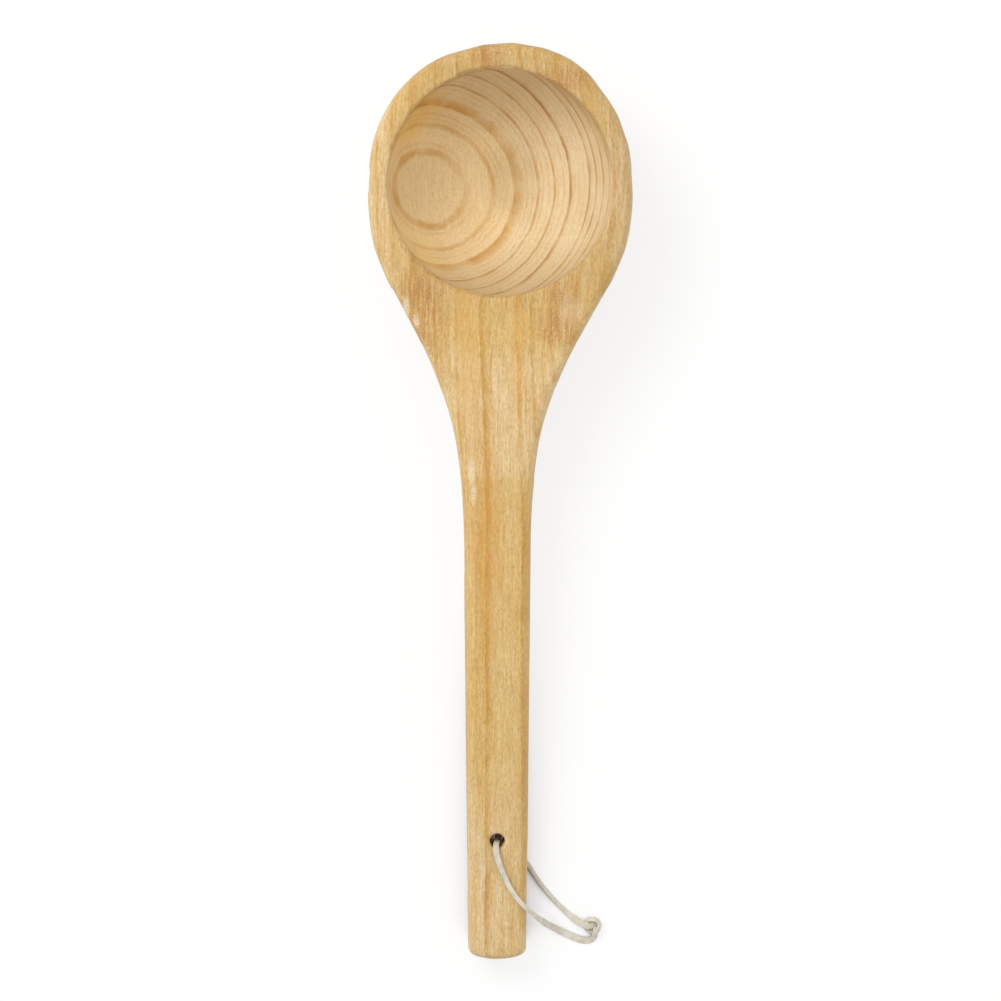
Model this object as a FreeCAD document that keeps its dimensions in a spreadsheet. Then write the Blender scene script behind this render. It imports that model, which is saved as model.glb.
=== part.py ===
"""Wooden sauna ladle, carved from one piece, with a knotted lace through its handle.

The ladle is drawn with its rim level: the middle of the bowl's outer circle at the height of the
rim is its own zero, the bowl's far side points along +Y and the handle along -Y. It is then laid
down as it rests, with the flat foot and the handle's end both on the table at Z = 0, and the
middle of the foot at the origin. Sizes are millimetres.
"""
import FreeCAD, Part
import math
import os
import re

import Sketcher
from FreeCAD import Placement, Rotation, Vector

# Driving sizes: name, value, what it measures
SIZES = [
    ("ladle_length", 390, "far side of the bowl to the end of the handle"),
    ("cavity_radius", 47.2, "hollow of the bowl at the rim"),
    ("cavity_depth", 49, "rim to the bottom of the hollow"),
    ("cavity_upright", 1.8, "straight wall of the hollow, under the rim"),
    ("cavity_setback", 3, "middle of the bowl to the middle of the hollow"),
    ("wall_thickness", 7.8, "bowl's outside at its widest less the hollow's radius"),
    ("floor_thickness", 9, "bottom of the hollow to the foot, under the middle of the bowl"),
    ("foot_shave", 2, "how much the flat foot takes off the rounded underside there"),
    ("foot_setback", 9, "middle of the bowl to the middle of the foot"),
    ("lip_round", 1.2, "worn edge between the rim and the hollow"),
    ("top_round", 5, "rounding of the upper outside edges"),
    ("side_flat", 9, "upright part of the sides, under that rounding"),
    ("keel_half_width", 4, "least half width that the underside keeps between its roundings"),
    ("neck_length", 160, "middle of the bowl to the start of the straight handle"),
    ("grip_half_width", 14.2, "handle at the neck"),
    ("grip_thickness", 20.5, "handle at the neck"),
    ("grip_drop", 3.5, "rim down to the top of the handle"),
    ("end_half_width", 12.4, "handle at its end"),
    ("end_thickness", 19, "handle at its end"),
    ("end_arch_radius", 30, "curve of the handle's end, seen from above"),
    ("end_round", 3.5, "worn edge all round the handle's end"),
    ("handle_lean", 1.3, "how far the handle strays to the left"),
    ("hole_clearance", 1.8, "all round the lace in its hole"),
    ("hole_setback", 52, "end of the handle to the hole"),
    ("lace_width", 3, "flat lace, drawn as a round one of its width"),
    ("knot_core_radius", 3.5, "heart of the knot"),
    ("knot_turn_radius", 2.9, "middle line of each turn of the lace in the knot"),
    ("knot_turn_thickness", 1.25, "half the thickness of each turn"),
]

# Carved sections of the neck: name, place as a share of neck_length, then the shares of the
# bowl's extra width, of its extra thickness and of the handle's drop that the section has
NECK_SECTIONS = [
    ("widest", 0, 1, 1, 0),
    ("shoulder", 0.14, 0.985, 0.975, 0),
    ("flank", 0.25, 0.858, 0.845, 0),
    ("breast", 0.375, 0.591, 0.625, 0),
    ("throat", 0.5, 0.341, 0.39, 0.2),
    ("nape", 0.625, 0.159, 0.2, 0.5),
    ("waist", 0.78, 0.045, 0.06, 0.85),
    ("grip", 1, 0, 0, 1),
]

# How far a cutting outline reaches past what it cuts
CUT_MARGIN = 4

# How near an edge keeps to a circle that it is told by, and the least volume that a cut takes
ON_CIRCLE = 0.01
LEAST_CUT = 1

# Route of the lace's middle line as it lies: out of the knot, over the handle's edge, down
# through the hole and back under the handle to the knot
LACE_ROUTE = [
    (41.6, -318.6, 2.6),
    (41.8, -321.3, 2.0),
    (40.4, -323.4, 1.6),
    (37.7, -324.3, 1.5),
    (34.4, -323.3, 1.5),
    (30.0, -320.9, 1.5),
    (25.4, -318.5, 2.4),
    (21.4, -316.2, 6.8),
    (18.4, -313.9, 12.6),
    (15.8, -311.2, 18.6),
    (12.0, -307.8, 23.4),
    (7.4, -303.2, 25.0),
    (3.6, -297.8, 25.2),
    (0.6, -292.0, 25.4),
    (-0.8, -286.6, 26.0),
    (-0.8, -282.2, 27.4),
    (-0.6, -279.2, 25.0),
    (-0.3, -278.4, 17.5),
    (-0.5, -277.4, 10.0),
    (-0.9, -276.7, 3.9),
    (1.2, -278.6, 1.5),
    (4.6, -281.8, 1.5),
    (8.6, -286.0, 1.5),
    (12.4, -291.0, 1.5),
    (16.0, -296.8, 1.5),
    (20.6, -302.8, 1.5),
    (25.6, -308.2, 1.5),
    (30.8, -312.8, 1.6),
    (35.2, -315.2, 2.6),
    (37.9, -316.2, 3.4),
]
ARC_SHARE_OF_RUN = 0.45

# Middle of the knot on the table, and the axes that its three turns go round
KNOT_PLACE = Vector(39.9, -316.7, 0)
KNOT_TURN_AXES = [Vector(0.25, 0.1, 1), Vector(1, 0.35, 0.15), Vector(-0.3, 1, 0.2)]

# Derived sizes, as expressions on the sheet
BOWL_RADIUS = "(cavity_radius + wall_thickness)"
FOOT_HEIGHT = "(cavity_depth + floor_thickness)"
BOWL_HEIGHT = "(cavity_depth + floor_thickness + foot_shave)"
HANDLE_END = f"(ladle_length - {BOWL_RADIUS})"
HOLE_RADIUS = "(lace_width / 2 + hole_clearance)"

# The table passes under the middle of the bowl at the foot's height, and touches the rounded
# lower edge of the handle's end
END_RISE = f"({FOOT_HEIGHT} - grip_drop - end_thickness + end_round)"
END_REACH = f"({HANDLE_END} - end_round)"
LIE_ANGLE = (
    f"(atan({END_RISE} / {END_REACH})"
    f" - asin(end_round / sqrt({END_RISE}^2 + {END_REACH}^2)))"
)
FOOT_LEVEL = f"({FOOT_HEIGHT} - foot_setback * tan({LIE_ANGLE}))"

document = FreeCAD.newDocument("sauna_ladle")


def make_sheet():
    sheet = document.addObject("Spreadsheet::Sheet", "Sizes")
    for row, (name, value, note) in enumerate(SIZES, start=1):
        sheet.set(f"A{row}", str(value))
        sheet.setAlias(f"A{row}", name)
        sheet.set(f"B{row}", note)
    document.recompute()
    return sheet


sizes = make_sheet()


def size(name):
    return float(sizes.get(name))


def on_sheet(text):
    """The expression with each size's name pointed at its cell."""
    names = "|".join(name for name, _, _ in SIZES)
    return re.sub(rf"\b({names})\b", r"Sizes.\1", text)


def bind(item, path, text):
    item.setExpression(path, on_sheet(text))


def origin_plane(body, role):
    return next(item for item in body.Origin.OriginFeatures if item.Role == role)


def new_sketch(body, name, role):
    sketch = body.newObject("Sketcher::SketchObject", name)
    sketch.AttachmentSupport = [(origin_plane(body, role), "")]
    sketch.MapMode = "FlatFace"
    return sketch


def constrain(sketch, kind, *places):
    return sketch.addConstraint(Sketcher.Constraint(kind, *places))


def dimension(sketch, name, text, kind, *places_and_start):
    """A dimension that starts at a rough value and then follows the sheet."""
    index = constrain(sketch, kind, *places_and_start)
    sketch.renameConstraint(index, name)
    bind(sketch, f"Constraints.{name}", text)


def line(start, end):
    return Part.LineSegment(Vector(*start, 0), Vector(*end, 0))


def arc(centre, radius, first_degrees, last_degrees):
    circle = Part.Circle(Vector(*centre, 0), Vector(0, 0, 1), radius)
    return Part.ArcOfCircle(circle, math.radians(first_degrees), math.radians(last_degrees))


def lower_corner(half_width, thickness):
    """Rounding of a lower edge: all that the sides and the keel leave of it."""
    return f"min({thickness} - top_round - side_flat; {half_width} - keel_half_width)"


def carved_section(name, station, half_width, thickness, drop, lean):
    """A cross-section of neck or handle: flat top, upright sides, rounded corners.

    The sketch stands across the handle, with its top line at the handle's top.
    """
    sketch = document.addObject("Sketcher::SketchObject", f"{name}_section")
    sketch.Placement = Placement(Vector(), Rotation(Vector(1, 0, 0), 90))
    bind(sketch, "Placement.Base.x", f"-({lean})")
    bind(sketch, "Placement.Base.y", f"-({station})")
    bind(sketch, "Placement.Base.z", f"-({drop})")
    side, deep, top, low = 20, 30, 5, 12
    sketch.addGeometry([
        line((low - side, -deep), (side - low, -deep)),
        arc((side - low, low - deep), low, 270, 360),
        line((side, low - deep), (side, -top)),
        arc((side - top, -top), top, 0, 90),
        line((side - top, 0), (top - side, 0)),
        arc((top - side, -top), top, 90, 180),
        line((-side, -top), (-side, low - deep)),
        arc((low - side, low - deep), low, 180, 270),
    ], False)
    for edge in range(8):
        constrain(sketch, "Tangent", edge, 2, (edge + 1) % 8, 1)
    constrain(sketch, "Horizontal", 0)
    constrain(sketch, "Vertical", 2)
    constrain(sketch, "Horizontal", 4)
    constrain(sketch, "Vertical", 6)
    constrain(sketch, "PointOnObject", 4, 1, -1)
    constrain(sketch, "Equal", 3, 5)
    constrain(sketch, "Equal", 1, 7)
    dimension(sketch, "right_side", half_width, "DistanceX", -1, 1, 2, 1, side)
    dimension(sketch, "left_side", half_width, "DistanceX", 6, 1, -1, 1, side)
    dimension(sketch, "thickness", thickness, "DistanceY", 0, 1, -1, 1, deep)
    dimension(sketch, "upper_corner", "top_round", "Radius", 3, top)
    dimension(sketch, "lower_corner", lower_corner(half_width, thickness), "Radius", 1, low)
    return sketch


def far_half_of_bowl(body):
    """Half a turn of the bowl's outer profile, from its widest line to its far side."""
    sketch = new_sketch(body, "bowl_profile", "XZ_Plane")
    wide, deep, top, low = 55, 60, 5, 46
    sketch.addGeometry([
        line((0, 0), (0, -deep)),
        line((0, -deep), (wide - low, -deep)),
        arc((wide - low, low - deep), low, 270, 360),
        line((wide, low - deep), (wide, -top)),
        arc((wide - top, -top), top, 0, 90),
        line((wide - top, 0), (0, 0)),
    ], False)
    constrain(sketch, "Coincident", 0, 1, -1, 1)
    constrain(sketch, "Coincident", 0, 2, 1, 1)
    for edge in range(1, 5):
        constrain(sketch, "Tangent", edge, 2, edge + 1, 1)
    constrain(sketch, "Coincident", 5, 2, 0, 1)
    constrain(sketch, "Vertical", 0)
    constrain(sketch, "Horizontal", 1)
    constrain(sketch, "Vertical", 3)
    constrain(sketch, "Horizontal", 5)
    dimension(sketch, "outside", BOWL_RADIUS, "DistanceX", -1, 1, 3, 1, wide)
    dimension(sketch, "height", BOWL_HEIGHT, "DistanceY", 0, 2, 0, 1, deep)
    dimension(sketch, "upper_corner", "top_round", "Radius", 4, top)
    dimension(sketch, "lower_corner", lower_corner(BOWL_RADIUS, BOWL_HEIGHT), "Radius", 2, low)
    half = body.newObject("PartDesign::Revolution", "far_half_of_bowl")
    half.Profile = sketch
    half.ReferenceAxis = (sketch, ["V_Axis"])
    half.Angle = 180
    return half


def neck_and_handle():
    """Carved through its sections, from the bowl's widest line to the handle's end."""
    sections = []
    for name, along, width_share, thickness_share, drop_share in NECK_SECTIONS:
        sections.append(carved_section(
            name,
            f"neck_length * {along}",
            f"(grip_half_width + ({BOWL_RADIUS} - grip_half_width) * {width_share})",
            f"(grip_thickness + ({BOWL_HEIGHT} - grip_thickness) * {thickness_share})",
            f"grip_drop * {drop_share}",
            f"handle_lean * {1 - width_share:.3f}",
        ))
    sections.append(carved_section(
        "end", HANDLE_END, "end_half_width", "end_thickness", "grip_drop", "handle_lean",
    ))
    carving = document.addObject("Part::Loft", "neck_and_handle")
    carving.Sections = sections
    carving.Solid = True
    carving.MaxDegree = 2
    return carving


def arched_end(body):
    """Takes off what lies outside the shallow arch of the handle's end."""
    sketch = new_sketch(body, "end_outline", "XY_Plane")
    middle, centre, radius, half, past = -1.3, -305, 30, 16, -340
    reach = math.degrees(math.asin(half / radius))
    left, right = middle - half, middle + half
    level = centre - math.sqrt(radius**2 - half**2)
    sketch.addGeometry([
        arc((middle, centre), radius, 270 - reach, 270 + reach),
        line((right, level), (right, past)),
        line((right, past), (left, past)),
        line((left, past), (left, level)),
    ], False)
    for edge in range(4):
        constrain(sketch, "Coincident", edge, 2, (edge + 1) % 4, 1)
    constrain(sketch, "Vertical", 1)
    constrain(sketch, "Horizontal", 2)
    constrain(sketch, "Vertical", 3)
    dimension(sketch, "lean", "handle_lean", "DistanceX", 0, 3, -1, 1, -middle)
    dimension(sketch, "arch_middle", f"{HANDLE_END} - end_arch_radius",
              "DistanceY", 0, 3, -1, 1, -centre)
    dimension(sketch, "arch", "end_arch_radius", "Radius", 0, radius)
    outside = f"end_half_width + {CUT_MARGIN}"
    dimension(sketch, "right_limit", outside, "DistanceX", 0, 3, 1, 1, half)
    dimension(sketch, "left_limit", outside, "DistanceX", 3, 1, 0, 3, half)
    dimension(sketch, "past_end", f"{HANDLE_END} + {CUT_MARGIN}", "DistanceY", 2, 1, -1, 1, -past)
    return cut_through(body, sketch, "arched_end")


def cut_through(body, sketch, name):
    cut = body.newObject("PartDesign::Pocket", name)
    cut.Profile = sketch
    cut.Type = "ThroughAll"
    return cut


def flat_foot(body):
    """Levels the bowl's underside along the table, which is not parallel to the rim."""
    sketch = new_sketch(body, "table_line", "YZ_Plane")
    far, near, deep = 59, -160, -70
    sketch.addGeometry([
        line((far, -64), (near, -41)),
        line((near, -41), (near, deep)),
        line((near, deep), (far, deep)),
        line((far, deep), (far, -64)),
    ], False)
    for edge in range(4):
        constrain(sketch, "Coincident", edge, 2, (edge + 1) % 4, 1)
    constrain(sketch, "Vertical", 1)
    constrain(sketch, "Horizontal", 2)
    constrain(sketch, "Vertical", 3)
    far_side = f"({BOWL_RADIUS} + {CUT_MARGIN})"
    slope = f"tan({LIE_ANGLE})"
    dimension(sketch, "far_side", far_side, "DistanceX", -1, 1, 3, 1, far)
    dimension(sketch, "near_side", "neck_length", "DistanceX", 1, 1, -1, 1, -near)
    dimension(sketch, "far_level", f"{FOOT_HEIGHT} + {far_side} * {slope}",
              "DistanceY", 0, 1, -1, 1, 64)
    dimension(sketch, "near_level", f"{FOOT_HEIGHT} - neck_length * {slope}",
              "DistanceY", 0, 2, -1, 1, 41)
    dimension(sketch, "below", f"{BOWL_HEIGHT} + {far_side} * {slope} + {CUT_MARGIN}",
              "DistanceY", 2, 1, -1, 1, -deep)
    foot = body.newObject("PartDesign::Pocket", "flat_foot")
    foot.Profile = sketch
    foot.SideType = "Symmetric"
    bind(foot, "Length", f"2 * {far_side}")
    return foot


def cavity(body):
    """The round hollow: short upright walls, then one arc to the bottom, here a half sphere."""
    sketch = new_sketch(body, "cavity_profile", "XZ_Plane")
    bind(sketch, "AttachmentOffset.Base.z", "cavity_setback")
    wide, deep, above = 47, 49, 4
    sketch.addGeometry([
        line((0, above), (0, -deep)),
        arc((0, wide - deep), wide, 270, 360),
        line((wide, wide - deep), (wide, above)),
        line((wide, above), (0, above)),
    ], False)
    for edge in range(4):
        constrain(sketch, "Coincident", edge, 2, (edge + 1) % 4, 1)
    constrain(sketch, "PointOnObject", 0, 1, -2)
    constrain(sketch, "Vertical", 0)
    constrain(sketch, "Vertical", 2)
    constrain(sketch, "Horizontal", 3)
    constrain(sketch, "PointOnObject", 1, 3, -2)
    dimension(sketch, "hollow", "cavity_radius", "DistanceX", -1, 1, 2, 1, wide)
    dimension(sketch, "upright", "cavity_upright", "DistanceY", 2, 1, -1, 1, deep - wide)
    dimension(sketch, "depth", "cavity_depth", "DistanceY", 0, 2, -1, 1, deep)
    dimension(sketch, "above_rim", f"{CUT_MARGIN}", "DistanceY", -1, 1, 2, 2, above)
    hollow = body.newObject("PartDesign::Groove", "cavity")
    hollow.Profile = sketch
    hollow.ReferenceAxis = (sketch, ["V_Axis"])
    hollow.Angle = 360
    return hollow


def lace_hole(body):
    sketch = new_sketch(body, "hole_outline", "XY_Plane")
    left, along, bore = 1.3, 283, 3.3
    circle = Part.Circle(Vector(-left, -along, 0), Vector(0, 0, 1), bore)
    sketch.addGeometry([circle], False)
    dimension(sketch, "lean", "handle_lean", "DistanceX", 0, 3, -1, 1, left)
    dimension(sketch, "along", f"{HANDLE_END} - hole_setback", "DistanceY", 0, 3, -1, 1, along)
    dimension(sketch, "bore", HOLE_RADIUS, "Radius", 0, bore)
    return cut_through(body, sketch, "lace_hole")


def edges_where(shape, test):
    found = [f"Edge{index}" for index, edge in enumerate(shape.Edges, start=1) if test(edge)]
    if not found:
        raise RuntimeError(f"no edge passes {test.__name__}")
    return found


def samples(edge):
    first, last = edge.ParameterRange
    return [edge.valueAt(first + (last - first) * share) for share in (0.1, 0.5, 0.9)]


def rounded(body, name, base, test, radius):
    document.recompute()
    fillet = body.newObject("PartDesign::Fillet", name)
    fillet.Base = (base, edges_where(base.Shape, test))
    bind(fillet, "Radius", radius)
    return fillet


def all_at_reach(edge, middle, radius):
    """Whether an edge keeps one distance from an upright axis."""
    return all(
        abs(math.hypot(point.x - middle.x, point.y - middle.y) - radius) < ON_CIRCLE
        for point in samples(edge)
    )


def is_lip(edge):
    """Whether an edge runs round the mouth of the hollow."""
    middle = Vector(0, -size("cavity_setback"), 0)
    at_rim = all(abs(point.z) < size("cavity_upright") / 2 for point in samples(edge))
    return at_rim and all_at_reach(edge, middle, size("cavity_radius"))


def is_end_edge(edge):
    """Whether an edge runs round the arched end of the handle."""
    handle_end = size("ladle_length") - size("cavity_radius") - size("wall_thickness")
    middle = Vector(-size("handle_lean"), size("end_arch_radius") - handle_end, 0)
    below = all(point.y < middle.y for point in samples(edge))
    return below and all_at_reach(edge, middle, size("end_arch_radius"))


def must_remove(before, after):
    document.recompute()
    if after.Shape.Volume > before.Shape.Volume - LEAST_CUT:
        raise RuntimeError(f"{after.Name} takes nothing away")
    return after


def make_ladle():
    body = document.addObject("PartDesign::Body", "ladle")
    body.BaseFeature = neck_and_handle()
    outside = far_half_of_bowl(body)
    document.recompute()
    ended = must_remove(outside, arched_end(body))
    footed = must_remove(ended, flat_foot(body))
    hollowed = must_remove(footed, cavity(body))
    holed = must_remove(hollowed, lace_hole(body))
    lipped = must_remove(holed, rounded(body, "lip", holed, is_lip, "lip_round"))
    must_remove(lipped, rounded(body, "worn_end", lipped, is_end_edge, "end_round"))
    lay_down(body)
    body.Label = "ladle"
    return body


def lay_down(body):
    """Turns the level ladle until the foot lies on the table, with its middle at the origin."""
    body.Placement = Placement(Vector(), Rotation(Vector(1, 0, 0), 6))
    bind(body, "Placement.Rotation.Angle", LIE_ANGLE)
    bind(body, "Placement.Base.y",
         f"foot_setback * cos({LIE_ANGLE}) - {FOOT_LEVEL} * sin({LIE_ANGLE})")
    bind(body, "Placement.Base.z",
         f"foot_setback * sin({LIE_ANGLE}) + {FOOT_LEVEL} * cos({LIE_ANGLE})")


def rounded_path(points):
    """Straight runs through the points, with a tangent arc as large as the runs allow at each."""
    edges, radii = [], []
    reached = points[0]
    for before, corner, after in zip(points, points[1:], points[2:]):
        arriving, leaving = corner - before, after - corner
        half_turn = arriving.getAngle(leaving) / 2
        setback = ARC_SHARE_OF_RUN * min(arriving.Length, leaving.Length)
        radius = setback / math.tan(half_turn)
        start = corner - arriving.normalize() * setback
        end = corner + leaving.normalize() * setback
        inward = (start + end) / 2 - corner
        depth = radius / math.cos(half_turn) - radius
        edges.append(Part.LineSegment(reached, start).toShape())
        edges.append(Part.Arc(start, corner + inward.normalize() * depth, end).toShape())
        radii.append(radius)
        reached = end
    edges.append(Part.LineSegment(reached, points[-1]).toShape())
    return Part.Wire(edges), radii


def make_cord_loop():
    """The lace as a plain round tube along its route."""
    points = [Vector(*point) for point in LACE_ROUTE]
    path, radii = rounded_path(points)
    half_width = size("lace_width") / 2
    ring = Part.Wire(Part.Circle(points[0], points[1] - points[0], half_width).toShape())
    tube = path.makePipeShell([ring], True, False)
    loop = document.addObject("Part::Feature", "cord_loop")
    loop.Shape = tube
    loop.Label = "cord_loop"
    expected = math.pi * half_width**2 * path.Length
    print("lace: length", round(path.Length, 1), "volume", round(tube.Volume, 1),
          "section times length", round(expected, 1))
    print("lace: bend radii", [round(radius, 1) for radius in radii])
    return loop


def make_cord_knot(loop):
    """A ball of crossed turns, with seats where the lace's two ends go in."""
    core = document.addObject("Part::Sphere", "knot_core")
    bind(core, "Radius", "knot_core_radius")
    turns = []
    for index, axis in enumerate(KNOT_TURN_AXES, start=1):
        turn = document.addObject("Part::Torus", f"knot_turn_{index}")
        bind(turn, "Radius1", "knot_turn_radius")
        bind(turn, "Radius2", "knot_turn_thickness")
        turn.Placement = Placement(Vector(), Rotation(Vector(0, 0, 1), axis))
        turns.append(turn)
    for piece in [core] + turns:
        piece.Placement.Base = KNOT_PLACE
        bind(piece, "Placement.Base.z", "knot_turn_radius + knot_turn_thickness")
    ball = document.addObject("Part::MultiFuse", "knot_ball")
    ball.Shapes = [core] + turns
    knot = document.addObject("Part::Cut", "cord_knot")
    knot.Base = ball
    knot.Tool = loop
    knot.Label = "cord_knot"
    return knot


def true_box(shape):
    box = shape.optimalBoundingBox(True, False)
    corners = (box.XMin, box.YMin, box.ZMin, box.XMax, box.YMax, box.ZMax)
    return [round(value, 2) for value in corners]


def check_and_write(pieces):
    document.recompute()
    for item in document.Objects:
        if "Invalid" in item.State or "Error" in item.State:
            raise RuntimeError(f"{item.Name} is {item.State}")
    for piece in pieces:
        if piece.Shape.isNull() or not piece.Shape.isValid():
            raise RuntimeError(f"{piece.Label} has no valid shape")
    os.makedirs("parts", exist_ok=True)
    for piece in pieces:
        piece.Shape.exportStep(f"parts/{piece.Label}.step")
        print(piece.Label, "solids", len(piece.Shape.Solids), "volume",
              round(piece.Shape.Volume), "box", true_box(piece.Shape))


ladle = make_ladle()
cord_loop = make_cord_loop()
cord_knot = make_cord_knot(cord_loop)
check_and_write([ladle, cord_loop, cord_knot])
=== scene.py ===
"""Wooden sauna ladle, lying bowl up and seen from straight above: its looks, light and camera."""
import math
from types import SimpleNamespace

import bmesh
import bpy
from mathutils import Matrix, Vector


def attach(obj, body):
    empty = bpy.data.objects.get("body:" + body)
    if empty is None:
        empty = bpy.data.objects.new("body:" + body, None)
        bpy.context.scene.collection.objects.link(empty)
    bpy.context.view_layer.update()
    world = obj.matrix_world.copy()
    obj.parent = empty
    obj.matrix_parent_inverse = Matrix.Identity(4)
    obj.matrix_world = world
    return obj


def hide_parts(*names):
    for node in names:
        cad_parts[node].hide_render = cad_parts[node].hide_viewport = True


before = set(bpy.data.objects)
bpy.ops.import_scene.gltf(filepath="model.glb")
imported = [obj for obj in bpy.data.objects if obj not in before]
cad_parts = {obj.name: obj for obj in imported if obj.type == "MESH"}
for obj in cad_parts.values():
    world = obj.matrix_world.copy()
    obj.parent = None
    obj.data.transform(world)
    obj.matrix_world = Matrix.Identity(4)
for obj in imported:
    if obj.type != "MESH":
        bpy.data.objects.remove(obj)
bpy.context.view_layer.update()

MM = 0.001
MERGE_DISTANCE = 0.002 * MM

# The ladle as it lies: its own zero is the middle of the bowl's outer circle, at the rim
LIE_ANGLE = math.radians(6.109)
LADLE_ZERO = Vector((0, 0.00288, 0.05767))

# Camera straight above, with the photograph's framing
CAMERA_PLACE = (0.0001, -0.1327, 1.5)
CAMERA_LENS = 124.43

# Carved surface
CARVING_GRID = 0.98 * MM
FACET_SPACING = 13 * MM
FACET_DEPTH = 0.32 * MM
FACET_SEED = 7
CUTS_PER_AREA = 60000
LEAST_CARVED = 0.2
HANDLE_CUT_SHARE = 0.35
HANDLE_CUT_STRETCH = 0.3
HANDLE_CUTS_FROM = -60 * MM

# The bowl's far edge is a little fuller on the right
FULLER_BY = 2.6 * MM

# The hollow of the bowl, in the ladle's own frame
HOLLOW_MIDDLE = Vector((0, -0.003, -0.0018))
HOLLOW_RADIUS = 0.0472

# Marks on the wood: each one's middle and reach in mm, in the ladle's own frame, and its strength
TORN_PATCHES = [
    ((27, 40, 0), (11, 5, 5), 1.0),
    ((-5, 51, 0), (6, 8, 5), 1.0),
    ((26, -51, 0), (6, 5, 6), 1.0),
    ((25, -63, 0), (8, 8, 6), 1.0),
    ((-34, -56, 0), (10, 20, 6), 1.0),
]
PALE_SCUFFS = [
    ((30, -56, 0), (3.5, 5.5, 5), 0.3),
    ((-39.4, -55, 0), (1.2, 3.6, 5), 1.0),
    ((-35.2, -61, 0), (1.2, 2.4, 5), 1.0),
    ((-11.9, -125, -3), (1.3, 5, 4), 1.0),
    ((-11.3, -134, -3), (1.1, 4, 4), 1.0),
]
NECK_BANDS = [
    ((-13, -76, 0), (5.5, 44, 6), 1.0),
    ((6.5, -76, 0), (2.5, 44, 6), 1.0),
]

# Single places on the wood: each one's middle and reach, as above
WORN_LIP = ((37, 27, -12), (20, 24, 30))
FAINT_RINGS = ((-17, 0, -44), (8, 16, 14))
# Places of painted shade in the hollow, and of paler wood there that is partly painted light
LIP_SHADOW_PLACE = ((-33, 33, -4), (30, 30, 20))
SHADED_FAR_LEFT_WALL = ((-37, 25, -13), (15, 15, 16))
PALE_AND_LIT_NEAR_LEFT = ((-36, -31, -14), (15, 13, 16))
SHADED_HOLLOW_FLOOR = ((6, -3, -46), (11, 15, 14))
STAINED_GRIP = ((-5, -154, 0), (7, 40, 9))

# Growth rings: the depth in the log, in mm, as shares of a place given in units of GRAIN_UNIT.
# The shares weren't chosen by hand: a fitting program outside this script worked them out from
# rings picked by eye, and they were rounded to a half
GRAIN_UNIT = 50 * MM
GROWTH = [
    (-36.0, "x"),
    (-19.5, "z"),
    (-2.5, "xx"),
    (-11.0, "xz"),
    (10.0, "zz"),
    (-2.5, "yy"),
    (4.0, "yz"),
    (-3.0, "xyy"),
    (-1.5, "zyy"),
]
GROWTH_REACH = 1.1
LOG_BARK_SIDE = 49.0
LOG_HEART_SIDE = -52.0

# Each ring's dark late wood: where it starts in the log, how wide it fades towards the heart and
# how dark it is. The starts 35, 31, 26, 18.5, 12, 4, -8 and -13 are the same fit's, rounded
GROWTH_RINGS = [
    (43.5, 1.6, 0.60),
    (41.0, 0.3, 0.30),
    (39.5, 1.4, 0.60),
    (35.0, 0.6, 0.90),
    (34.0, 0.5, 0.25),
    (31.0, 1.0, 0.70),
    (29.5, 0.3, 0.30),
    (28.5, 0.4, 0.35),
    (26.0, 3.2, 0.75),
    (22.0, 0.3, 0.30),
    (20.0, 0.3, 0.35),
    (18.5, 1.1, 0.80),
    (16.5, 0.5, 0.30),
    (14.0, 0.3, 0.35),
    (12.0, 1.2, 0.80),
    (10.0, 0.4, 0.35),
    (7.0, 0.3, 0.40),
    (4.0, 2.2, 1.00),
    (1.0, 0.3, 0.35),
    (-1.5, 0.4, 0.30),
    (-4.5, 0.4, 0.30),
    (-8.0, 1.6, 0.85),
    (-10.5, 0.3, 0.35),
    (-13.0, 1.8, 0.75),
    (-16.5, 0.4, 0.30),
    (-19.5, 2.2, 0.65),
    (-23.5, 0.4, 0.30),
    (-27.0, 2.4, 0.65),
    (-32.0, 0.5, 0.30),
    (-36.0, 2.6, 0.60),
]
RINGS_IN_A_RAMP = 10
RING_EDGE = 0.3
EARLY_WOOD = 0.05

# Flat leather lace
LACE_THICKNESS = 1.1 * MM

# The flat lace lies closer to what it rests on than the middle of a round one
LACE_DROP = Vector((0, 0, -0.9 * MM))
FLOOR_GAP = 0.03 * MM

# Route of the lace's middle line, in metres: out of the knot, over the handle's edge, down
# through the hole and back under the handle to the knot. Both ends reach into the knot's heart
LACE_ROUTE = [
    (0.0413, -0.3173, 0.0040),
    (0.0411, -0.3182, 0.0050),
    (0.0410, -0.3194, 0.0052),
    (0.0410, -0.3208, 0.0042),
    (0.0406, -0.3220, 0.0025),
    (0.0395, -0.3231, 0.0015),
    (0.0374, -0.3235, 0.0015),
    (0.0344, -0.3230, 0.0015),
    (0.0300, -0.3212, 0.0015),
    (0.0254, -0.3188, 0.0024),
    (0.0214, -0.3163, 0.0068),
    (0.0184, -0.3139, 0.0126),
    (0.0158, -0.3112, 0.0186),
    (0.0120, -0.3078, 0.0234),
    (0.0076, -0.3032, 0.0250),
    (0.0040, -0.2978, 0.0252),
    (0.0014, -0.2920, 0.0254),
    (-0.0008, -0.2866, 0.0260),
    (-0.0018, -0.2822, 0.0274),
    (-0.0018, -0.2792, 0.0250),
    (-0.0012, -0.2784, 0.0175),
    (-0.0008, -0.2774, 0.0100),
    (-0.0009, -0.2767, 0.0039),
    (0.0012, -0.2786, 0.0015),
    (0.0046, -0.2818, 0.0015),
    (0.0086, -0.2860, 0.0015),
    (0.0124, -0.2910, 0.0015),
    (0.0160, -0.2968, 0.0015),
    (0.0206, -0.3028, 0.0015),
    (0.0256, -0.3082, 0.0015),
    (0.0306, -0.3128, 0.0018),
    (0.0338, -0.3150, 0.0036),
    (0.0362, -0.3162, 0.0050),
    (0.0386, -0.3168, 0.0054),
    (0.0405, -0.3169, 0.0042),
]

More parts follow.
